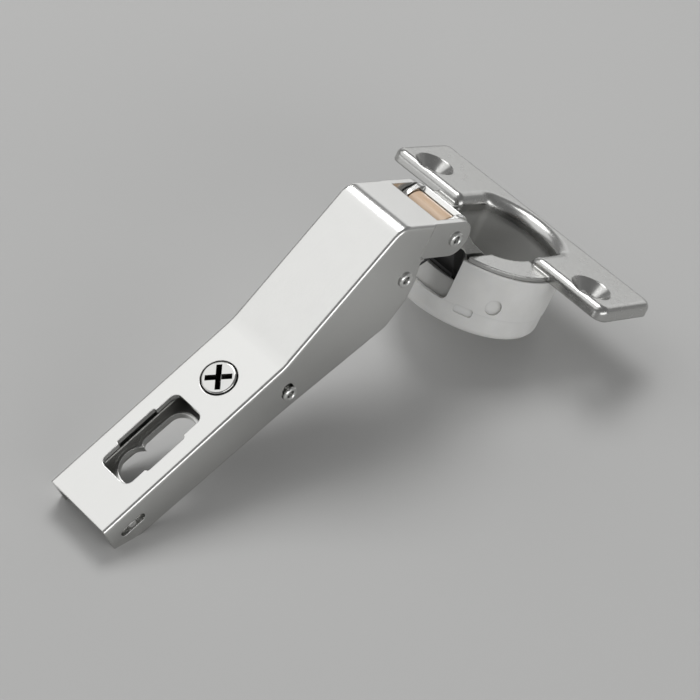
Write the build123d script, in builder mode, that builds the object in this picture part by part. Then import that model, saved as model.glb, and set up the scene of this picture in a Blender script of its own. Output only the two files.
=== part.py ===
from build123d import *
from math import asin, atan2, cos, degrees, hypot, radians, sin, tan
import os

os.makedirs("parts", exist_ok=True)

# Concealed cabinet hinge for a 45 degree front, lying open on a bench.
# Sections are drawn in the cup's own frame: y runs from the arm to the cup, z out of the
# mouth of the cup, and the zero point is the cup's centre on the top face of the flange.
# X runs along all the pivots. All sizes are in millimetres and degrees.

# Cup flange and its screw holes
flange_length = 64.0
flange_front = 0.9
flange_thickness = 3.0
flange_corner = 2.4
flange_edge = 1.6
rear_land = 0.1
screw_spacing = 48.0
screw_line = 5.85
screw_hole = 4.8
screw_sink = 9.0

# Cup
cup_diameter = 34.8
cup_depth = 14.9
jacket_wall = 1.4
jacket_floor = 1.8
jacket_edge = 1.8
jacket_play = 0.1
jacket_lead_in = 0.2
jacket_notch_width = 13.4
jacket_notch_depth = 10.0
jacket_notch_corner = 1.6
collar_height = 1.1
collar_inset = 0.6
hollow_width = 21.2
hollow_radius = 15.0
hollow_corner = 2.5
hollow_depth = 14.6
mouth_radius = 2.4
throat_width = 14.2
sill_depth = 8.5
front_wall = 1.3

# Moulded marks on both sides of the jacket, as angles round from its front
mark_depth = 0.35
window_angle = 37.0
window_depth = 13.2
window_size = (4.2, 2.0)
gate_angle = 55.5
gate_depth = 10.2
gate_radius = 1.8

# Pivots, as y and z in the cup's frame with the hinge open. Those in the cup keep to its front wall.
cup_radius = cup_diameter / 2
outer_arm_pivot = (-24.6, 3.8)
inner_arm_pivot = (-35.8, -4.7)
outer_cup_pivot = (8.0 - cup_radius, -4.9)
inner_cup_pivot = (5.7 - cup_radius, -9.1)
pin_radius = 1.2
pin_head_radius = 1.7
pin_head_height = 0.6
pin_head_edge = 0.25
pin_bore_radius = 0.8
pin_bore_depth = 1.0
running_play = 0.05

# Arm channel
arm_width = 17.0
arm_sheet = 1.3
arm_bend = 0.8
base_angle = 46.84
base_length = 47.6
rise_angle = 14.1
rise_length = 35.3
nose_length = 12.0
nose_setback = 7.1
ridge_radius = 4.0
crease_radius = 9.0
tongue_radius = 4.1
tongue_offset = 0.45
joggle_length = 2.0
tip_depth = 7.1
tip_bevel = (5.9, 9.65)
tip_foot_round = 2.0
waist_station = 42.3
waist_depth = 11.4

# Corners of the arm's side walls, measured from the inner arm pivot
notch_reach = 2.2
notch_round = 1.0
front_top_reach = (3.6, -0.8)
front_top_round = 2.5
front_foot_reach = (3.4, -5.1)
chin_reach = (0.8, -11.4)
chin_round = 3.0
cut_past = 10.0
cut_below = 50.0

# Openings in the base, measured from the tip
base_slot_start = 9.3
base_slot_length = 20.1
base_slot_width = 8.4
base_slot_corner = 1.7
slot_step_start = 14.2
slot_step_length = 9.9
slot_step_width = 9.7
slot_step_corner = 0.6
screw_station = 37.1

# Adapter channel, measured from the tip and down from the top of the base
adapter_depth = 5.0
adapter_sheet = 1.2
adapter_play = 0.3
adapter_bend = 0.95
adapter_front = 48.4
adapter_web_start = 8.4
adapter_rear_height = 3.8
adapter_front_height = 5.6
adapter_ear_radius = 2.2
keyhole_head_station = 14.4
keyhole_head_radius = 4.2
keyhole_slot_start = 17.8
keyhole_slot_end = 28.4
keyhole_slot_width = 7.4
keyhole_slot_corner = 1.2
keyhole_end_corner = 3.4
adapter_lip_width = 0.8
adapter_lip_height = 0.5
rear_pin_station = 5.6
rear_pin_depth = 5.1
rear_pin_radius = 1.0
rear_slot_length = 6.0
front_pin_station = 45.8
front_pin_depth = 8.0
tilt_range = 2.2
slot_play = 0.12

# Overlay screw
barrel_radius = 3.6
barrel_length = 4.3
barrel_proud = 0.4
barrel_play = 0.3
collar_wall = 1.1
collar_depth = 3.2
screw_neck_radius = 2.0
screw_foot_radius = 3.0
screw_foot_height = 1.2
cross_width = 1.2
cross_length = 5.6
cross_depth = 1.9
cross_taper = 15.0

# Links and what runs between them
link_sheet = 1.25
link_play = 0.25
heel_radius = 3.3
eye_radius = 2.4
link_shoulder = (1.45, 1.65)
link_shoulder_radius = 2.4
link_bend = (8.2, -4.4)
link_bend_radius = 2.0
link_arch_centre = (3.6, -10.6)
link_arch_radius = 7.2
link_web_slope = -41.0
link_web_setback = 0.7
link_web_length = 3.7
sleeve_radius = 3.2
sleeve_play = 0.15
sleeve_edge = 0.3
inner_link_width = 9.0
inner_link_height = 2.6
inner_link_bends = ((-30.0, -1.2), (1.0 - cup_radius, -1.2))
inner_link_bend_radius = 3.0
slack_length = 3.5
slack_angle = -51.0
slack_shift = 0.24
slack_play = 0.4
stub_head_radius = 1.9
stub_head_height = 0.5
stub_seat = 2.0

# Closing springs
spring_wire = 0.9
spring_radius = 2.4
spring_pitch = 0.85
spring_play = 0.15
leg_inset = 0.1

# Edges count as the same when their places agree to this length
near = 0.01


# Points that the pivots and lengths give
def shifted(point, angle, length):
    return (point[0] + length * cos(radians(angle)), point[1] + length * sin(radians(angle)))


def on_base(station, height):
    along = shifted(tip, base_angle, station)
    return shifted(along, base_angle + 90, height)


def under(corner, angle_before, angle_after, depth):
    half_turn = (angle_after - angle_before) / 2
    return shifted(corner, angle_before + half_turn - 90, depth / cos(radians(half_turn)))


p1_y, p1_z = outer_arm_pivot
p2_y, p2_z = inner_arm_pivot
flange_rear = hollow_radius + mouth_radius + rear_land + flange_edge
insert_radius = cup_radius - jacket_wall - jacket_play
cup_bottom = -flange_thickness - cup_depth
nose_top = p1_z + tongue_radius
tongue_bottom = p1_z - tongue_radius
nose_end = p1_y - nose_setback
joggle = nose_end - joggle_length
rise_slope = base_angle + rise_angle
ridge = (nose_end - nose_length, nose_top)
crease = shifted(ridge, rise_slope, -rise_length)
tip = shifted(crease, base_angle, -base_length)
tip_foot = on_base(tip_bevel[0], -tip_bevel[1])

# The hinge rests on the tip's bevelled edges and on the rear rim of the cup, and that sets its tilt
jacket_foot_radius = cup_radius - jacket_lead_in
rim_y = jacket_foot_radius - jacket_edge
rim_z = cup_bottom + jacket_edge
rest_reach = hypot(rim_y - tip_foot[0], rim_z - tip_foot[1])
rest_line = degrees(atan2(rim_z - tip_foot[1], rim_y - tip_foot[0]))
tilt = radians(rest_line - degrees(asin(jacket_edge / rest_reach)))
along_y = (0, cos(tilt), -sin(tilt))
along_z = (0, sin(tilt), cos(tilt))
rear_end = (flange_rear - flange_edge) * cos(tilt) - flange_edge * sin(tilt) + flange_edge
tip_end = tip[0] * cos(tilt) + tip[1] * sin(tilt)
cup_centre = Vector(
    0,
    -(rear_end + tip_end) / 2,
    tip_foot[0] * sin(tilt) - tip_foot[1] * cos(tilt),
)
side = Plane(cup_centre, x_dir=along_y, z_dir=(1, 0, 0))
cup_top = Plane(cup_centre, x_dir=(1, 0, 0), z_dir=along_z)
tip_place = side.from_local_coords(Vector(*tip, 0))
base_along = side.from_local_coords(Vector(*on_base(1, 0), 0)) - tip_place
base_up = side.from_local_coords(Vector(*on_base(0, 1), 0)) - tip_place
base_side = Plane(tip_place, x_dir=base_along, z_dir=(1, 0, 0))
base_top = Plane(tip_place, x_dir=(1, 0, 0), z_dir=base_up)

# Half widths across the pivots, from the outside in
arm_half = arm_width / 2
arm_inside = arm_half - arm_sheet
tongue_half = arm_half - tongue_offset
tongue_inside = tongue_half - arm_sheet
link_half = tongue_inside - link_play
link_inside = link_half - link_sheet
sleeve_half = link_inside - sleeve_play
throat_half = throat_width / 2
adapter_half = arm_inside - adapter_play


def pivot_plane(point):
    return Plane(side.from_local_coords(Vector(*point, 0)), x_dir=along_y, z_dir=(1, 0, 0))


def round_corners(sketch, corners):
    for point, radius in corners:
        fillet(sketch.vertices().sort_by_distance(Vector(*point, 0))[0], radius)


# Arm: one folded channel, open below and at the tip, with two tongues at the nose
def from_inner_pivot(reach):
    return (p2_y + reach[0], p2_z + reach[1])


notch_corner = (p2_y + notch_reach, tongue_bottom)
front_top = from_inner_pivot(front_top_reach)
front_foot = from_inner_pivot(front_foot_reach)
chin = from_inner_pivot(chin_reach)
below_tip = on_base(-cut_past, -cut_below)
clear_front = nose_end + nose_length
adapter_reach = front_pin_station - rear_pin_station
front_pin_rise = adapter_reach * radians(tilt_range)
front_pin_path = degrees(atan2(rear_pin_depth - front_pin_depth, adapter_reach)) + 90

with BuildPart() as hinge_arm:
    with BuildSketch(side) as arm_outline:
        Polygon(
            tip,
            crease,
            ridge,
            (nose_end, nose_top),
            (nose_end, tongue_bottom),
            notch_corner,
            front_top,
            front_foot,
            chin,
            on_base(waist_station, -waist_depth),
            tip_foot,
            on_base(0, -tip_depth),
            align=None,
        )
        round_corners(
            arm_outline,
            (
                (crease, crease_radius),
                (ridge, ridge_radius),
                (notch_corner, notch_round),
                (front_top, front_top_round),
                (front_foot, chin_round),
                (chin, chin_round),
                (tip_foot, tip_foot_round),
            ),
        )
    extrude(amount=arm_half, both=True)
    top_edges = [
        edge
        for edge in hinge_arm.edges()
        if abs(abs(edge.center().X) - arm_half) < near
        and base_side.to_local_coords(edge.center()).Y > -arm_sheet
    ]
    fillet(top_edges, arm_bend)
    with BuildSketch(side) as arm_inside_outline:
        inside_crease = under(crease, base_angle, rise_slope, arm_sheet)
        inside_ridge = under(ridge, rise_slope, 0, arm_sheet)
        Polygon(
            on_base(-cut_past, -arm_sheet),
            inside_crease,
            inside_ridge,
            (clear_front, nose_top - arm_sheet),
            (clear_front, below_tip[1]),
            below_tip,
            align=None,
        )
        round_corners(
            arm_inside_outline,
            ((inside_crease, crease_radius + arm_sheet), (inside_ridge, ridge_radius - arm_sheet)),
        )
    extrude(amount=arm_inside, both=True, mode=Mode.SUBTRACT)
    # Joggled tongues that carry the outer pivot
    for inner_face in (tongue_inside, -tongue_half):
        with BuildSketch(side.offset(inner_face)):
            with Locations(((joggle + p1_y) / 2, p1_z)):
                Rectangle(p1_y - joggle, 2 * tongue_radius)
            with Locations(outer_arm_pivot):
                Circle(tongue_radius)
        extrude(amount=arm_sheet)
    with BuildSketch(cup_top.offset(tongue_bottom)) as joggle_cut:
        with BuildLine():
            Polyline(
                (arm_half, joggle - tongue_offset),
                (tongue_half, joggle + tongue_offset),
                (tongue_half, clear_front),
                (arm_half + tongue_offset, clear_front),
                (arm_half + tongue_offset, joggle - tongue_offset),
                close=True,
            )
        make_face()
        mirror(about=Plane.YZ)
    extrude(amount=2 * tongue_radius + arm_sheet, mode=Mode.SUBTRACT)
    # Stepped slot and the drawn collar of the overlay screw
    with BuildSketch(base_top) as base_slot:
        with Locations((0, base_slot_start + base_slot_length / 2)):
            RectangleRounded(base_slot_width, base_slot_length, base_slot_corner)
        with Locations((0, slot_step_start + slot_step_length / 2)):
            RectangleRounded(slot_step_width, slot_step_length, slot_step_corner)
    extrude(amount=-2 * arm_sheet, mode=Mode.SUBTRACT)
    with BuildSketch(base_top.offset(-collar_depth)):
        with Locations((0, screw_station)):
            Circle(barrel_radius + barrel_play + collar_wall)
    extrude(amount=collar_depth - arm_sheet / 2)
    with BuildSketch(base_top):
        with Locations((0, screw_station)):
            Circle(barrel_radius + barrel_play)
    extrude(amount=-collar_depth, mode=Mode.SUBTRACT)
    # Pivot holes and the two side slots
    with BuildSketch(side):
        with Locations(outer_arm_pivot, inner_arm_pivot):
            Circle(pin_radius + running_play)
    extrude(amount=arm_half, both=True, mode=Mode.SUBTRACT)
    with BuildSketch(base_side):
        with Locations((rear_pin_station, -rear_pin_depth)):
            SlotOverall(rear_slot_length, 2 * (rear_pin_radius + slot_play))
        with Locations(
            shifted((front_pin_station, -front_pin_depth), front_pin_path, front_pin_rise / 2)
        ):
            SlotCenterToCenter(
                front_pin_rise,
                2 * (pin_radius + slot_play),
                rotation=front_pin_path,
            )
    extrude(amount=arm_half, both=True, mode=Mode.SUBTRACT)
hinge_arm.part.label = "hinge_arm"
export_step(hinge_arm.part, "parts/hinge_arm.step")


# Rivets: a straight shank, drilled at each end and rolled over into a low ring
def rivet(plane, half_grip, label):
    end = half_grip + pin_head_height
    bore_floor = end - pin_bore_depth
    below_edge = end - pin_head_edge
    with BuildPart() as pin:
        with BuildSketch(Plane(plane.origin, x_dir=(1, 0, 0), z_dir=plane.y_dir)) as section:
            with BuildLine():
                Polyline(
                    (0, 0),
                    (bore_floor, 0),
                    (bore_floor, pin_bore_radius),
                    (below_edge, pin_bore_radius),
                    (end, pin_bore_radius + pin_head_edge),
                    (end, pin_head_radius - pin_head_edge),
                    (below_edge, pin_head_radius),
                    (half_grip, pin_head_radius),
                    (half_grip, pin_radius),
                    (0, pin_radius),
                    close=True,
                )
            make_face()
            mirror(about=Plane.YZ)
        revolve(axis=Axis(plane.origin, (1, 0, 0)))
    pin.part.label = label
    export_step(pin.part, f"parts/{label}.step")
    return pin


def base_point(station, depth):
    return on_base(station, -depth)


outer_arm_pin = rivet(pivot_plane(outer_arm_pivot), tongue_half, "outer_arm_pin")
inner_arm_pin = rivet(pivot_plane(inner_arm_pivot), arm_half, "inner_arm_pin")
adapter_front_pin = rivet(
    pivot_plane(base_point(front_pin_station, front_pin_depth)),
    arm_half + slot_play,
    "adapter_front_pin",
)

# Spacer sleeve on the outer arm pin, between the plates of the outer link
with BuildPart() as link_sleeve:
    with BuildSketch(pivot_plane(outer_arm_pivot)):
        Circle(sleeve_radius)
        Circle(pin_radius + running_play, mode=Mode.SUBTRACT)
    extrude(amount=sleeve_half, both=True)
    chamfer(link_sleeve.edges().filter_by(GeomType.CIRCLE).group_by(SortBy.RADIUS)[-1], sleeve_edge)
link_sleeve.part.label = "link_sleeve"
export_step(link_sleeve.part, "parts/link_sleeve.step")

# Adapter: the inner channel that slides on a mounting plate
adapter_web = -adapter_depth
ear = (rear_pin_station, -rear_pin_depth)
with BuildPart() as adapter_channel:
    with BuildSketch(base_side):
        Polygon(
            (rear_pin_station, -rear_pin_depth - adapter_ear_radius),
            (adapter_web_start, adapter_web - adapter_rear_height),
            (adapter_front, adapter_web - adapter_front_height),
            (adapter_front, adapter_web),
            (adapter_web_start, adapter_web),
            (rear_pin_station, -rear_pin_depth + adapter_ear_radius),
            align=None,
        )
        with Locations(ear):
            Circle(adapter_ear_radius)
    extrude(amount=adapter_half, both=True)
    web_edges = [
        edge
        for edge in adapter_channel.edges().filter_by(Axis(tip_place, base_along))
        if abs(base_side.to_local_coords(edge.center()).Y - adapter_web) < near
    ]
    fillet(web_edges, adapter_bend)
    with BuildSketch(base_side):
        Polygon(
            (-cut_past, 0),
            (adapter_web_start, 0),
            (adapter_web_start, adapter_web - adapter_sheet),
            (adapter_front + cut_past, adapter_web - adapter_sheet),
            (adapter_front + cut_past, -cut_below),
            (-cut_past, -cut_below),
            align=None,
        )
    extrude(amount=adapter_half - adapter_sheet, both=True, mode=Mode.SUBTRACT)
    # Keyhole with a raised lip: a round hole for the plate screw's head, then a slot for its shank
    with BuildSketch(base_top.offset(adapter_web)) as keyhole:
        with Locations((0, (keyhole_slot_start + keyhole_slot_end) / 2)):
            Rectangle(keyhole_slot_width, keyhole_slot_end - keyhole_slot_start)
        fillet(keyhole.vertices().group_by(Axis.Y)[-1], keyhole_end_corner)
        fillet(keyhole.vertices().group_by(Axis.Y)[0], keyhole_slot_corner)
        with Locations((0, keyhole_head_station)):
            Circle(keyhole_head_radius)
    with BuildSketch(base_top.offset(adapter_web)) as lip:
        add(keyhole.sketch_local)
        offset(amount=adapter_lip_width, kind=Kind.ARC)
    extrude(amount=adapter_lip_height)
    extrude(keyhole.sketch, amount=adapter_lip_height, mode=Mode.SUBTRACT)
    extrude(keyhole.sketch, amount=-2 * adapter_sheet, mode=Mode.SUBTRACT)
    with BuildSketch(base_top.offset(adapter_web)):
        with Locations((0, screw_station)):
            Circle(screw_neck_radius + running_play)
    extrude(amount=-2 * adapter_sheet, mode=Mode.SUBTRACT)
    with BuildSketch(base_side):
        with Locations(ear):
            Circle(rear_pin_radius + running_play)
        with Locations((front_pin_station, -front_pin_depth)):
            Circle(pin_radius + running_play)
    extrude(amount=arm_half, both=True, mode=Mode.SUBTRACT)
adapter_channel.part.label = "adapter_channel"
export_step(adapter_channel.part, "parts/adapter_channel.step")

# Plain pin on which the adapter tilts, its ends just inside the side slots
with BuildPart() as adapter_rear_pin:
    with BuildSketch(pivot_plane(base_point(rear_pin_station, rear_pin_depth))):
        Circle(rear_pin_radius)
    extrude(amount=arm_half - slot_play, both=True)
    chamfer(adapter_rear_pin.edges().filter_by(GeomType.CIRCLE), rear_pin_radius / 4)
adapter_rear_pin.part.label = "adapter_rear_pin"
export_step(adapter_rear_pin.part, "parts/adapter_rear_pin.step")

# Overlay screw: a threaded barrel in the arm, with a neck and foot held by the adapter
screw_top = base_top.offset(barrel_proud)
barrel_bottom = barrel_proud - barrel_length
foot_top = adapter_web - adapter_sheet - 4 * running_play
with BuildPart() as overlay_screw:
    with BuildSketch(base_top.offset(barrel_bottom)):
        with Locations((0, screw_station)):
            Circle(barrel_radius)
    extrude(amount=barrel_length)
    fillet(overlay_screw.faces().sort_by(Axis(tip_place, base_up))[-1].edges(), barrel_proud)
    with BuildSketch(base_top.offset(foot_top)):
        with Locations((0, screw_station)):
            Circle(screw_neck_radius)
    extrude(amount=barrel_bottom - foot_top)
    with BuildSketch(base_top.offset(foot_top)):
        with Locations((0, screw_station)):
            Circle(screw_foot_radius)
    extrude(amount=-screw_foot_height)
    with BuildSketch(screw_top):
        with Locations((0, screw_station)):
            Rectangle(cross_length, cross_width, rotation=45)
            Rectangle(cross_length, cross_width, rotation=-45)
    extrude(amount=-cross_depth, taper=cross_taper, mode=Mode.SUBTRACT)
overlay_screw.part.label = "overlay_screw"
export_step(overlay_screw.part, "parts/overlay_screw.step")

# Outer link: two cranked plates joined by a web over the sleeve
heel = (outer_arm_pivot, heel_radius)
shoulder = ((p1_y + link_shoulder[0], p1_z + link_shoulder[1]), link_shoulder_radius)
bend = ((p1_y + link_bend[0], p1_z + link_bend[1]), link_bend_radius)
eye = (outer_cup_pivot, eye_radius)
with BuildPart() as outer_link:
    for inner_face in (link_inside, -link_half):
        with BuildSketch(side.offset(inner_face)) as plate:
            for pair in ((heel, shoulder), (heel, bend), (bend, eye)):
                with BuildSketch(mode=Mode.PRIVATE) as rounds:
                    for centre, radius in pair:
                        with Locations(centre):
                            Circle(radius)
                make_hull(rounds.edges())
            with Locations((p1_y + link_arch_centre[0], p1_z + link_arch_centre[1])):
                Circle(link_arch_radius, mode=Mode.SUBTRACT)
            with Locations(outer_arm_pivot, outer_cup_pivot):
                Circle(pin_radius + running_play, mode=Mode.SUBTRACT)
        extrude(amount=link_sheet)
    with BuildSketch(side):
        crown = shifted(shoulder[0], link_web_slope + 90, link_shoulder_radius)
        web_start = shifted(crown, link_web_slope, -link_web_setback)
        web_end = shifted(web_start, link_web_slope, link_web_length)
        Polygon(
            web_start,
            web_end,
            shifted(web_end, link_web_slope - 90, link_sheet),
            shifted(web_start, link_web_slope - 90, link_sheet),
            align=None,
        )
    extrude(amount=link_half, both=True)
outer_link.part.label = "outer_link"
export_step(outer_link.part, "parts/outer_link.step")

# Inner link: a cranked bar that dips over the edge of the door into the cup
with BuildPart() as inner_link:
    with BuildSketch(side) as bar:
        with BuildLine() as crank:
            FilletPolyline(
                inner_arm_pivot, *inner_link_bends, inner_cup_pivot, radius=inner_link_bend_radius
            )
        trace(crank.line, line_width=inner_link_height)
        with Locations(inner_cup_pivot):
            Circle(eye_radius)
        with Locations(shifted(inner_arm_pivot, slack_angle + 90, slack_shift)):
            SlotCenterToCenter(
                slack_length,
                2 * (pin_radius + slack_play) + inner_link_height,
                rotation=slack_angle,
            )
            SlotCenterToCenter(
                slack_length,
                2 * (pin_radius + slack_play),
                rotation=slack_angle,
                mode=Mode.SUBTRACT,
            )
        with Locations(inner_cup_pivot):
            Circle(pin_radius + running_play, mode=Mode.SUBTRACT)
    extrude(amount=inner_link_width / 2, both=True)
inner_link.part.label = "inner_link"
export_step(inner_link.part, "parts/inner_link.step")

# Pins of the cup: one right across for the inner link, two short ones for the outer link
with BuildPart() as inner_cup_pin:
    with BuildSketch(pivot_plane(inner_cup_pivot)):
        Circle(pin_radius)
    extrude(amount=throat_half + stub_seat - running_play, both=True)
inner_cup_pin.part.label = "inner_cup_pin"
export_step(inner_cup_pin.part, "parts/inner_cup_pin.step")

for hand, label in ((1, "outer_cup_pin_right"), (-1, "outer_cup_pin_left")):
    head_outer = link_inside - running_play
    head_inner = head_outer - stub_head_height
    with BuildPart() as outer_cup_pin:
        with BuildSketch(pivot_plane(outer_cup_pivot).offset(hand * head_inner)):
            Circle(stub_head_radius)
        extrude(amount=hand * stub_head_height)
        with BuildSketch(pivot_plane(outer_cup_pivot).offset(hand * head_outer)):
            Circle(pin_radius)
        extrude(amount=hand * (throat_half + stub_seat - running_play - head_outer))
    outer_cup_pin.part.label = label
    export_step(outer_cup_pin.part, f"parts/{label}.step")

# Cup body: a casting with two screw wings, a low front collar and the hollow for the links
hollow_half = hollow_width / 2
hollow_shoulder = (hollow_radius**2 - hollow_half**2) ** 0.5
throat_end = (hollow_half**2 - throat_half**2) ** 0.5
floor_top = -hollow_depth
front_inside = -insert_radius + front_wall
clear_cup = -2 * cup_radius
with BuildPart() as cup_body:
    with BuildSketch(cup_top.offset(-flange_thickness)) as flange_plan:
        with Locations((0, (flange_front + flange_rear) / 2)):
            Rectangle(flange_length, flange_rear - flange_front)
        fillet(flange_plan.vertices(), flange_corner)
    extrude(amount=flange_thickness)
    with BuildSketch(cup_top.offset(-flange_thickness)):
        Circle(insert_radius)
    extrude(amount=cup_bottom + jacket_floor + 2 * jacket_play + flange_thickness)
    # Hollow, wide at the back and rounded in to the throat
    with BuildSketch(cup_top) as hollow:
        with BuildLine() as rim:
            Line((0, front_inside), (throat_half, front_inside))
            Line((throat_half, front_inside), (throat_half, -throat_end))
            RadiusArc((throat_half, -throat_end), (hollow_half, 0), -hollow_half)
            Line((hollow_half, 0), (hollow_half, hollow_shoulder))
            ThreePointArc(
                (hollow_half, hollow_shoulder),
                (hollow_radius * sin(radians(30)), hollow_radius * cos(radians(30))),
                (0, hollow_radius),
            )
            mirror(about=Plane.YZ)
        make_face()
        round_corners(
            hollow,
            (
                ((hollow_half, hollow_shoulder), hollow_corner),
                ((-hollow_half, hollow_shoulder), hollow_corner),
            ),
        )
    extrude(amount=floor_top, mode=Mode.SUBTRACT)
    with BuildSketch(cup_top.offset(-sill_depth)):
        with Locations((0, clear_cup / 2)):
            Rectangle(throat_width, -clear_cup - 2 * throat_end)
    extrude(amount=sill_depth, mode=Mode.SUBTRACT)
    # Drawn-in radius round the mouth, and softened edges on the wings
    top_face = cup_body.faces().sort_by(Axis(cup_centre, along_z))[-1]
    mouth_edges = []
    for edge in top_face.edges():
        place = cup_top.to_local_coords(edge.center())
        if abs(place.X) < hollow_half + near and place.Y < hollow_radius + near:
            mouth_edges.append(edge)
    fillet(mouth_edges, mouth_radius)
    top_face = cup_body.faces().sort_by(Axis(cup_centre, along_z))[-1]
    wing_edges = []
    for edge in top_face.edges():
        place = cup_top.to_local_coords(edge.center())
        beside = abs(place.X) > hollow_half + mouth_radius + near
        behind = place.Y > hollow_radius + mouth_radius + near
        if beside or behind:
            wing_edges.append(edge)
    fillet(wing_edges, flange_edge)
    # Collar, a low crescent that covers the front edge of the jacket
    with BuildSketch(cup_top.offset(-flange_thickness)):
        Circle(cup_radius - collar_inset)
        with Locations((0, flange_front)):
            Rectangle(cup_diameter, cup_diameter, align=(Align.CENTER, Align.MIN), mode=Mode.SUBTRACT)
        add(hollow.sketch_local, mode=Mode.SUBTRACT)
        with Locations((0, clear_cup / 2)):
            Rectangle(throat_width, -clear_cup - 2 * throat_end, mode=Mode.SUBTRACT)
    extrude(amount=collar_height)
    # Pin seats and screw holes
    with BuildSketch(side):
        with Locations(outer_cup_pivot, inner_cup_pivot):
            Circle(pin_radius + running_play)
    extrude(amount=throat_half + stub_seat, both=True, mode=Mode.SUBTRACT)
    with Locations(cup_top):
        with Locations((screw_spacing / 2, screw_line), (-screw_spacing / 2, screw_line)):
            CounterSinkHole(screw_hole / 2, screw_sink / 2, flange_thickness)
cup_body.part.label = "cup_body"
export_step(cup_body.part, "parts/cup_body.step")

# Jacket: a moulded sleeve with a floor, notched where the links come out. Below the notch it is a
# little smaller, so that it starts easily in the bored hole.
notch_floor = -flange_thickness - jacket_notch_depth
with BuildPart() as cup_jacket:
    with BuildSketch(cup_top.offset(cup_bottom)):
        Circle(jacket_foot_radius)
    extrude(amount=cup_depth)
    fillet(cup_jacket.faces().sort_by(Axis(cup_centre, along_z))[0].edges(), jacket_edge)
    with BuildSketch(cup_top.offset(notch_floor + 2 * jacket_lead_in)):
        Circle(cup_radius)
    extrude(amount=jacket_notch_depth - 2 * jacket_lead_in)
    with BuildSketch(cup_top.offset(cup_bottom + jacket_floor)):
        Circle(cup_radius - jacket_wall)
    extrude(amount=cup_depth, mode=Mode.SUBTRACT)
    with BuildSketch(Plane(cup_centre, x_dir=(1, 0, 0), z_dir=(0, -cos(tilt), sin(tilt)))) as notch:
        with Locations((0, notch_floor + jacket_notch_depth)):
            Rectangle(jacket_notch_width, 2 * jacket_notch_depth)
        fillet(notch.vertices().group_by(Axis.Y)[0], jacket_notch_corner)
    extrude(amount=cup_radius, mode=Mode.SUBTRACT)
    # Shallow moulded marks, the same on both sides
    for hand in (1, -1):
        for angle, depth, mark in (
            (window_angle, window_depth, "window"),
            (gate_angle, gate_depth, "gate"),
        ):
            outward = (hand * sin(radians(angle)), -cos(radians(angle)))
            floor = jacket_foot_radius - mark_depth
            place = cup_top.from_local_coords(Vector(outward[0] * floor, outward[1] * floor, -depth))
            facing = cup_top.from_local_coords(Vector(*outward, 0)) - cup_centre
            with BuildSketch(Plane(place, x_dir=facing.cross(Vector(*along_z)), z_dir=facing)):
                if mark == "window":
                    RectangleRounded(*window_size, window_size[1] / 3)
                else:
                    Circle(gate_radius)
            extrude(amount=jacket_wall, mode=Mode.SUBTRACT)
cup_jacket.part.label = "cup_jacket"
export_step(cup_jacket.part, "parts/cup_jacket.step")

# Closing springs: wound on the inner arm pin, one leg under the arm's web and one under the link's heel
heel_clear = heel_radius + spring_wire / 2 + spring_play
pivot_reach = hypot(p1_y - p2_y, p1_z - p2_z)
pivot_line = degrees(atan2(p1_z - p2_z, p1_y - p2_y))
front_leg_angle = pivot_line - degrees(asin((heel_clear - spring_radius) / pivot_reach))
front_leg_length = pivot_reach - heel_radius
rear_leg_angle = base_angle + 90
coil_centre = base_side.to_local_coords(side.from_local_coords(Vector(*inner_arm_pivot, 0)))
web_rise = (coil_centre.X - spring_radius - base_length) * tan(radians(rise_angle))
web_under = web_rise - arm_sheet / cos(radians(rise_angle))
rear_leg_length = web_under - coil_centre.Y - spring_wire - spring_play
coil_outer = arm_inside - spring_wire / 2 - 2 * spring_play
coil_inner = coil_outer - spring_pitch


# A leg leaves the coil at its tangent, from just inside the wire of the coil
def leg_plane(leg_angle, turn, across):
    point = shifted(inner_arm_pivot, leg_angle + turn, spring_radius - leg_inset)
    forward = side.from_local_coords(Vector(*shifted((0, 0), leg_angle, 1), 0)) - cup_centre
    return Plane(side.from_local_coords(Vector(*point, across)), x_dir=(1, 0, 0), z_dir=forward)


with BuildPart() as closing_spring_right:
    coil_axis = pivot_plane(inner_arm_pivot)
    with BuildSketch(Plane(coil_axis.origin, x_dir=(1, 0, 0), z_dir=coil_axis.y_dir)):
        with Locations((coil_outer, spring_radius), (coil_inner, spring_radius)):
            Circle(spring_wire / 2)
    revolve(axis=Axis(coil_axis.origin, (1, 0, 0)))
    with BuildSketch(leg_plane(rear_leg_angle, 90, coil_outer)):
        Circle(spring_wire / 2)
    extrude(amount=rear_leg_length)
    with BuildSketch(leg_plane(front_leg_angle, -90, coil_inner)):
        Circle(spring_wire / 2)
    extrude(amount=front_leg_length)
closing_spring_right.part.label = "closing_spring_right"
export_step(closing_spring_right.part, "parts/closing_spring_right.step")

with BuildPart() as closing_spring_left:
    mirror(closing_spring_right.part, about=Plane.YZ)
closing_spring_left.part.label = "closing_spring_left"
export_step(closing_spring_left.part, "parts/closing_spring_left.step")
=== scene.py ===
# %% [markdown]
# # A concealed cabinet hinge, lying open on a bench
# The hinge was drawn and packed in CAD, and this lesson dresses it in Blender. The CAD pieces are a
# fixed frame: they already have their real sizes and places, in metres, so nothing here moves them.
# X runs along the pivots, Y from the tip of the arm to the cup, and Z up from the bench.

# %% Load the hinge
import bpy
from math import radians
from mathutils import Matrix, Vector

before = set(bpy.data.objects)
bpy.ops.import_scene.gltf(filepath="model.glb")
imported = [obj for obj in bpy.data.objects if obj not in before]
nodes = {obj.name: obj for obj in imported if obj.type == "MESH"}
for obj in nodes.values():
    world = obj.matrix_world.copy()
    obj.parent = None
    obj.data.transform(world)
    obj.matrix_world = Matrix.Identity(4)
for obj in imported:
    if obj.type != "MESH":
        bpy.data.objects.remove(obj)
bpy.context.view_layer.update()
mm = 0.001

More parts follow.
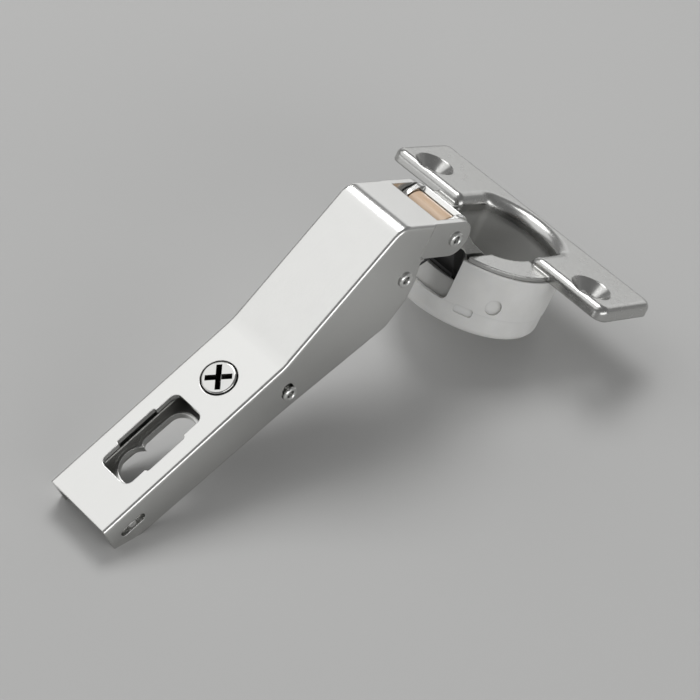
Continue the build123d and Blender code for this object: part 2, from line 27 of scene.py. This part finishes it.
# %% [markdown]
# ## One way to write colours, and one way to add a node
# Colours are written as the hex values that a screen shows, and Blender's shaders want linear light.
# One function turns the first into the second. A second small function adds any shader node: settings
# go in by name, and an input takes either a plain value or another node's output.

# %% Helpers for materials


def linear(hex_colour):
    channels = [int(hex_colour[i : i + 2], 16) / 255 for i in (1, 3, 5)]
    return [c / 12.92 if c <= 0.04045 else ((c + 0.055) / 1.055) ** 2.4 for c in channels] + [1.0]


def add(tree, kind, inputs, **settings):
    node = tree.nodes.new(kind)
    for name, value in settings.items():
        setattr(node, name, value)
    for name, value in inputs.items():
        if isinstance(value, bpy.types.NodeSocket):
            tree.links.new(value, node.inputs[name])
        else:
            node.inputs[name].default_value = value
    return node


def new_material(name):
    material = bpy.data.materials.new(name)
    material.use_nodes = True
    tree = material.node_tree
    place = add(tree, "ShaderNodeTexCoord", {}).outputs["Object"]
    return material, tree, tree.nodes["Principled BSDF"], place


def dress(material, *names):
    for name in names:
        nodes[name].data.materials.clear()
        nodes[name].data.materials.append(material)
    print(material.name, "on", ", ".join(names))


print("middle grey in linear light:", [round(c, 3) for c in linear("#808080")])

# %% [markdown]
# ## Nickel-plated sheet steel
# The arm, the outer link and the adapter are pressed from rolled sheet and barrel-plated with nickel.
# The plating follows the rolling lines of the sheet. A plain roughness value would look like grey paint,
# so the grain is a noise that is stretched along the arm and drives both roughness and bump. The barrel
# also takes the sharpness off each cut edge. A bevel in the mesh would do that too, but it would change
# the CAD shape, so the shader rounds the edges instead and they catch light.

# %% Satin nickel for the pressed pieces
arm_slope = radians(23.63)
grain_across = 0.35 * mm
grain_along = 9 * mm
blotch = 6 * mm
line_height = 0.02 * mm
line_strength = 0.04
edge_round = 0.25 * mm
edge_samples = 6

# Satin plating gives the eye a soft mirror: broad reflections with a faint grain along the sheet.
nickel, tree, shader, place = new_material("nickel_plated_sheet_steel_pressed")
shader.inputs["Base Color"].default_value = linear("#D8D8D6")
shader.inputs["Metallic"].default_value = 1.0
# Real rolling lines are about 0.05 mm apart: too fine to show here, so they are drawn coarser.
grain_space = add(
    tree,
    "ShaderNodeMapping",
    {"Vector": place, "Rotation": (arm_slope, 0, 0), "Scale": (grain_across, grain_along, grain_across)},
    vector_type="TEXTURE",
)
grain = add(
    tree,
    "ShaderNodeTexNoise",
    {"Vector": grain_space.outputs["Vector"], "Scale": 1.0, "Detail": 3.0},
)
haze = add(tree, "ShaderNodeTexNoise", {"Vector": place, "Scale": 1 / blotch, "Detail": 4.0})
mixed = add(tree, "ShaderNodeMath", {0: grain.outputs["Fac"], 1: haze.outputs["Fac"]}, operation="ADD")
# The sum of the two noises stays mostly between 0.6 and 1.4.
rough = add(
    tree,
    "ShaderNodeMapRange",
    {"Value": mixed.outputs["Value"], "From Min": 0.6, "From Max": 1.4, "To Min": 0.21, "To Max": 0.27},
)
tree.links.new(rough.outputs["Result"], shader.inputs["Roughness"])
tumbled = add(tree, "ShaderNodeBevel", {"Radius": edge_round}, samples=edge_samples)
lines = add(
    tree,
    "ShaderNodeBump",
    {
        "Height": grain.outputs["Fac"],
        "Strength": line_strength,
        "Distance": line_height,
        "Normal": tumbled.outputs["Normal"],
    },
)
tree.links.new(lines.outputs["Normal"], shader.inputs["Normal"])
dress(nickel, "hinge_arm", "adapter_channel", "outer_link")

# %% [markdown]
# ## Nickel-plated casting
# The cup with its two wings is cast in zinc and plated. A casting has no rolling lines, and its edges
# are rounder than those of the sheet. The tumbling media do not reach into the hollow, so the skin stays
# matt and pale there. A second material on the inner faces could do that. Here the depth below the
# flange, measured along the axis of the cup, blends the bright skin into the matt one with no hard line.

# %% Cast cup
skin_wave = 1.4 * mm
wave_height = 0.03 * mm
wave_strength = 0.04
cast_round = 0.5 * mm
cup_axis = Vector((0, 0.39417, 0.91904))
flange_face = Vector((0, 45.763, 22.667)) * mm
matt_starts = 3.2 * mm
matt_full = 5.0 * mm
matt_adds = 0.25

# A die-cast skin is very slightly uneven, which gives the eye softer and greyer reflections than sheet.
casting, tree, shader, place = new_material("nickel_plated_zinc_cast")
from_face = add(tree, "ShaderNodeVectorMath", {0: flange_face, 1: place}, operation="SUBTRACT")
depth = add(
    tree,
    "ShaderNodeVectorMath",
    {0: from_face.outputs["Vector"], 1: cup_axis},
    operation="DOT_PRODUCT",
)
matt = add(
    tree,
    "ShaderNodeMapRange",
    {"Value": depth.outputs["Value"], "From Min": matt_starts, "From Max": matt_full},
)
tone = add(
    tree,
    "ShaderNodeMix",
    {"Factor": matt.outputs["Result"], "A": linear("#BABAB8"), "B": linear("#C6C6C4")},
    data_type="RGBA",
)
tree.links.new(tone.outputs["Result"], shader.inputs["Base Color"])
shine = add(tree, "ShaderNodeMapRange", {"Value": matt.outputs["Result"], "To Min": 1.0, "To Max": 0.72})
tree.links.new(shine.outputs["Result"], shader.inputs["Metallic"])
print("bright skin to", round(matt_starts / mm, 1), "mm deep, matt from", round(matt_full / mm, 1), "mm")

# %% Cast skin
skin = add(tree, "ShaderNodeTexNoise", {"Vector": place, "Scale": 1 / skin_wave, "Detail": 3.0})
rough = add(
    tree,
    "ShaderNodeMapRange",
    {"Value": skin.outputs["Fac"], "From Min": 0.3, "From Max": 0.7, "To Min": 0.22, "To Max": 0.28},
)
dull = add(
    tree,
    "ShaderNodeMath",
    {0: matt.outputs["Result"], 1: matt_adds, 2: rough.outputs["Result"]},
    operation="MULTIPLY_ADD",
)
tree.links.new(dull.outputs["Value"], shader.inputs["Roughness"])
tumbled = add(tree, "ShaderNodeBevel", {"Radius": cast_round}, samples=edge_samples)
wave = add(
    tree,
    "ShaderNodeBump",
    {
        "Height": skin.outputs["Fac"],
        "Strength": wave_strength,
        "Distance": wave_height,
        "Normal": tumbled.outputs["Normal"],
    },
)
tree.links.new(wave.outputs["Normal"], shader.inputs["Normal"])
dress(casting, "cup_body")

# %% [markdown]
# ## Bright nickel rivets
# The pins are cold-headed from wire, drilled at the ends and rolled over. The rolling rounds and
# burnishes them. The drilled end and the corner under each head get painted shade. It could be painted
# on by hand, but the ambient occlusion node finds such corners by itself, from any side.

# %% Rivets and pins
burnish = 0.5 * mm
rolled_edge = 0.3 * mm
rivet_shade_reach = 0.7 * mm
shade_samples = 8

# Burnished metal gives the eye a brighter, harder-edged glint than the sheet round it.
rivet_metal, tree, shader, place = new_material("nickel_plated_steel_cold_headed")
shader.inputs["Metallic"].default_value = 1.0
# Painted shade: ambient occlusion darkens the base colour in the drilled end and under the head.
rivet_painted_shade = add(
    tree,
    "ShaderNodeAmbientOcclusion",
    {"Color": linear("#E6E6E4"), "Distance": rivet_shade_reach},
    samples=shade_samples,
)
tree.links.new(rivet_painted_shade.outputs["Color"], shader.inputs["Base Color"])
rub = add(tree, "ShaderNodeTexNoise", {"Vector": place, "Scale": 1 / burnish, "Detail": 2.0})
rough = add(tree, "ShaderNodeMapRange", {"Value": rub.outputs["Fac"], "To Min": 0.1, "To Max": 0.24})
tree.links.new(rough.outputs["Result"], shader.inputs["Roughness"])
rolled = add(tree, "ShaderNodeBevel", {"Radius": rolled_edge}, samples=edge_samples)
tree.links.new(rolled.outputs["Normal"], shader.inputs["Normal"])
dress(
    rivet_metal,
    "outer_arm_pin",
    "inner_arm_pin",
    "adapter_front_pin",
    "adapter_rear_pin",
    "inner_cup_pin",
    "outer_cup_pin_right",
    "outer_cup_pin_left",
)

# %% [markdown]
# ## Bright nickel screw
# The overlay screw is headed and turned, then plated bright. The turning tool leaves fine rings on its
# face. Rings cut into the mesh would be far too fine, so a ring texture bumps the surface. It is drawn
# round the screw's own axis, which leans with the arm. The recess is darkened with painted shade.

# %% Screw
ring_spacing = 0.3 * mm
ring_height = 0.02 * mm
ring_strength = 0.12
# A ring texture at scale 1 repeats every 0.314 units.
ring_repeat = 0.314
ring_scale = ring_repeat / ring_spacing
recess_shade_reach = 2.0 * mm
screw_centre = Vector((0, -28.825, 21.345)) * mm

# Bright plating on turned steel gives the eye a clear glint that is broken by fine rings.
screw_metal, tree, shader, place = new_material("bright_nickel_plated_steel_turned")
shader.inputs["Metallic"].default_value = 1.0
shader.inputs["Roughness"].default_value = 0.16
# Painted shade: ambient occlusion darkens the base colour in the cross recess.
deep = add(
    tree,
    "ShaderNodeAmbientOcclusion",
    {"Color": linear("#D2D2D0"), "Distance": recess_shade_reach},
    samples=shade_samples,
)
tree.links.new(deep.outputs["Color"], shader.inputs["Base Color"])
from_axis = add(tree, "ShaderNodeVectorMath", {0: place, 1: screw_centre}, operation="SUBTRACT")
upright = add(
    tree,
    "ShaderNodeVectorRotate",
    {"Vector": from_axis.outputs["Vector"], "Angle": -arm_slope},
    rotation_type="X_AXIS",
)
# Real tool marks are about 0.05 mm apart, so these are drawn coarser.
rings = add(
    tree,
    "ShaderNodeTexWave",
    {"Vector": upright.outputs["Vector"], "Scale": ring_scale, "Distortion": 0.4},
    wave_type="RINGS",
    rings_direction="Z",
)
marks = add(
    tree,
    "ShaderNodeBump",
    {"Height": rings.outputs["Fac"], "Strength": ring_strength, "Distance": ring_height},
)
tree.links.new(marks.outputs["Normal"], shader.inputs["Normal"])
dress(screw_metal, "overlay_screw")

# %% [markdown]
# ## Milky nylon
# The jacket round the cup is injection-moulded in unpigmented nylon. Light goes about a millimetre in
# and comes out again. True glass would show the casting inside too clearly, and a plain white would look
# like paint, so subsurface scattering is used. The shallow mould marks and inner corners get painted
# shade from a share of ambient occlusion, which makes them a little darker than the open wall.

# %% Jacket
milk_depth = 1.0 * mm
cloud = 5 * mm
mark_shade_reach = 0.8 * mm
painted_shade_share = 0.35

# Natural nylon gives the eye a soft inner glow, and its edges never look hard.
nylon, tree, shader, place = new_material("natural_nylon_moulded")
shader.inputs["Roughness"].default_value = 0.32
shader.inputs["IOR"].default_value = 1.53
shader.inputs["Subsurface Weight"].default_value = 0.6
shader.inputs["Subsurface Radius"].default_value = (1.0, 0.97, 0.9)
shader.inputs["Subsurface Scale"].default_value = milk_depth
clouds = add(tree, "ShaderNodeTexNoise", {"Vector": place, "Scale": 1 / cloud, "Detail": 2.0})
tone = add(
    tree,
    "ShaderNodeMix",
    {"Factor": clouds.outputs["Fac"], "A": linear("#DADAD8"), "B": linear("#ECECEA")},
    data_type="RGBA",
)
# Painted shade: ambient occlusion darkens the mould marks and inner corners, mixed in at a share.
corners = add(
    tree,
    "ShaderNodeAmbientOcclusion",
    {"Color": tone.outputs["Result"], "Distance": mark_shade_reach},
    samples=shade_samples,
)
tone_with_painted_shade = add(
    tree,
    "ShaderNodeMix",
    {"Factor": painted_shade_share, "A": tone.outputs["Result"], "B": corners.outputs["Color"]},
    data_type="RGBA",
)
tree.links.new(tone_with_painted_shade.outputs["Result"], shader.inputs["Base Color"])
dress(nylon, "cup_jacket")

# %% [markdown]
# ## Tan acetal
# The spacer sleeve between the plates of the outer link is acetal, moulded in a tan colour. The flow in
# the mould leaves faint streaks along it. They lie in the colour and not in the surface, so a stretched
# noise mixes two tans and there is no bump.

# %% Sleeve
streak_across = 0.6 * mm
streak_along = 5 * mm

# Acetal gives the eye a waxy half-gloss.
acetal, tree, shader, place = new_material("tan_acetal_moulded")
shader.inputs["Roughness"].default_value = 0.4
shader.inputs["IOR"].default_value = 1.48
streak_space = add(
    tree,
    "ShaderNodeMapping",
    {"Vector": place, "Scale": (1 / streak_along, 1 / streak_across, 1 / streak_across)},
)
streaks = add(
    tree,
    "ShaderNodeTexNoise",
    {"Vector": streak_space.outputs["Vector"], "Scale": 1.0, "Detail": 2.0},
)
tone = add(
    tree,
    "ShaderNodeMix",
    {"Factor": streaks.outputs["Fac"], "A": linear("#CCAB8B"), "B": linear("#EDD2B5")},
    data_type="RGBA",
)
tree.links.new(tone.outputs["Result"], shader.inputs["Base Color"])
dress(acetal, "link_sleeve")

# %% [markdown]
# ## Phosphated steel
# The inner link is phosphated, which leaves a dark crystalline skin that holds oil. A noise would give
# soft clouds, and crystals have cells, so a Voronoi texture drives both colour and roughness.

# %% Inner link
# Phosphate crystals are about 0.02 mm, so they are drawn coarser.
crystal = 0.25 * mm

# The skin gives the eye a dark, dry grey with a dull sparkle.
phosphate, tree, shader, place = new_material("phosphated_steel_oiled")
shader.inputs["Metallic"].default_value = 0.7
crystals = add(tree, "ShaderNodeTexVoronoi", {"Vector": place, "Scale": 1 / crystal})
tone = add(
    tree,
    "ShaderNodeMix",
    {"Factor": crystals.outputs["Distance"], "A": linear("#2B2B2C"), "B": linear("#4A4A4A")},
    data_type="RGBA",
)
tree.links.new(tone.outputs["Result"], shader.inputs["Base Color"])
rough = add(
    tree,
    "ShaderNodeMapRange",
    {"Value": crystals.outputs["Distance"], "To Min": 0.36, "To Max": 0.52},
)
tree.links.new(rough.outputs["Result"], shader.inputs["Roughness"])
dress(phosphate, "inner_link")

# %% [markdown]
# ## Spring wire
# The two springs are wound from oil-hardened wire. Drawing the wire leaves fine lines along it. They
# could follow the coil only with a map along the wire, and no more than a glint of the springs shows, so
# an even, fine noise stands for them.

# %% Springs
# Real drawing lines are a few hundredths of a millimetre wide, so they are drawn coarser.
drawing_line = 0.2 * mm

# Oil-hardened wire gives the eye a near black with sharp small glints.
wire, tree, shader, place = new_material("oil_hardened_spring_wire_wound")
shader.inputs["Metallic"].default_value = 0.9
drawn = add(tree, "ShaderNodeTexNoise", {"Vector": place, "Scale": 1 / drawing_line, "Detail": 2.0})
tone = add(
    tree,
    "ShaderNodeMix",
    {"Factor": drawn.outputs["Fac"], "A": linear("#252526"), "B": linear("#4C4C4D")},
    data_type="RGBA",
)
tree.links.new(tone.outputs["Result"], shader.inputs["Base Color"])
rough = add(tree, "ShaderNodeMapRange", {"Value": drawn.outputs["Fac"], "To Min": 0.24, "To Max": 0.42})
tree.links.new(rough.outputs["Result"], shader.inputs["Roughness"])
dress(wire, "closing_spring_right", "closing_spring_left")

# %% [markdown]
# ## Bench
# The hinge lies on a plain pale board. It could be a curved backdrop, but a large flat plane gives the
# side walls of the arm an even grey to show, because metal looks like whatever is round it.

# %% Floor
floor_size = 3.0
bpy.ops.mesh.primitive_plane_add(size=floor_size, location=(0, 0, 0))
floor = bpy.context.object
floor.name = "bench"
# A matt painted board gives the eye an even grey with no glare.
bench, tree, shader, place = new_material("pale_grey_painted_board")
shader.inputs["Base Color"].default_value = linear("#C2C2C1")
shader.inputs["Roughness"].default_value = 0.9
floor.data.materials.append(bench)
print("bench", floor_size, "m across")

# %% [markdown]
# ## Walls and ceiling
# The world stands for a studio with pale walls and a darker ceiling. One even grey would leave the bends
# of the metal flat. A world that darkens with height draws a thin dark line along each bend.

# %% Studio
wall_light = 0.32
ceiling_light = 0.22
# Heights are the sine of the angle above the horizon: about 17 and 30 degrees up.
wall_ends = 0.3
ceiling_starts = 0.5
world = bpy.data.worlds.new("studio")
bpy.context.scene.world = world
world.use_nodes = True
tree = world.node_tree
sky = tree.nodes["Background"]
sky.inputs["Color"].default_value = linear("#FFFFFF")
direction = add(tree, "ShaderNodeTexCoord", {})
height = add(tree, "ShaderNodeSeparateXYZ", {"Vector": direction.outputs["Generated"]})
brightness = add(
    tree,
    "ShaderNodeMapRange",
    {
        "Value": height.outputs["Z"],
        "From Min": wall_ends,
        "From Max": ceiling_starts,
        "To Min": wall_light,
        "To Max": ceiling_light,
    },
    interpolation_type="SMOOTHSTEP",
)
tree.links.new(brightness.outputs["Result"], sky.inputs["Strength"])
print("studio walls at", wall_light, "fade to a ceiling at", ceiling_light)

# %% [markdown]
# ## Lamps
# One big lamp would light the bench well and leave half of the metal dark, so each broad face of the
# hinge gets its own soft lamp to show. The top lamp makes the shadow. The left softbox is the sheet of
# light on the base and the rise of the arm. The back card is what the flange and the nose show, and the
# front card is what the front edges of the wings show. The low strip draws the bright line on the bends.

# %% Soft lamps


def soft_lamp(name, place, width, height, power):
    lamp = bpy.data.lights.new(name, "AREA")
    lamp.shape = "RECTANGLE"
    lamp.size = width
    lamp.size_y = height
    lamp.energy = power
    holder = bpy.data.objects.new(name, lamp)
    bpy.context.scene.collection.objects.link(holder)
    holder.location = place
    holder.rotation_euler = (-Vector(place)).to_track_quat("-Z", "Y").to_euler()
    holder.visible_camera = False
    print(name, "at", [round(v, 2) for v in place], "m,", power, "W")


soft_lamp("top_lamp", (-0.36, 0.26, 0.8), width=0.4, height=0.4, power=3.1)
soft_lamp("left_softbox", (-0.48, -0.27, 0.71), width=0.85, height=0.85, power=2.1)
soft_lamp("back_card", (-0.55, 0.97, 0.15), width=1.4, height=0.45, power=1.45)
soft_lamp("front_card", (-0.5, -0.9, 0.14), width=1.0, height=0.28, power=0.9)
soft_lamp("low_strip", (0.75, -0.1, 0.25), width=1.0, height=0.3, power=2.2)

# %% [markdown]
# ## Camera
# The camera could be set by eye. Here its place, its turn and its lens come from matching known sizes of
# the hinge to the picture: a long lens, about half a metre away, with a slight roll.

# %% Camera
lens_length = 130.8
sensor_width = 36.0
nearest_seen = 0.01
camera_place = Vector((0.257595, -0.266886, 0.371364))
camera_turn = (45.750, -5.551, 48.628)
camera = bpy.data.cameras.new("camera")
camera.lens = lens_length
camera.sensor_width = sensor_width
camera.clip_start = nearest_seen
viewer = bpy.data.objects.new("camera", camera)
viewer.location = camera_place
viewer.rotation_euler = [radians(angle) for angle in camera_turn]
bpy.context.scene.collection.objects.link(viewer)
bpy.context.scene.camera = viewer
bpy.context.scene.view_settings.view_transform = "Standard"
print("camera", round(camera_place.length, 3), "m from the middle of the hinge's foot")
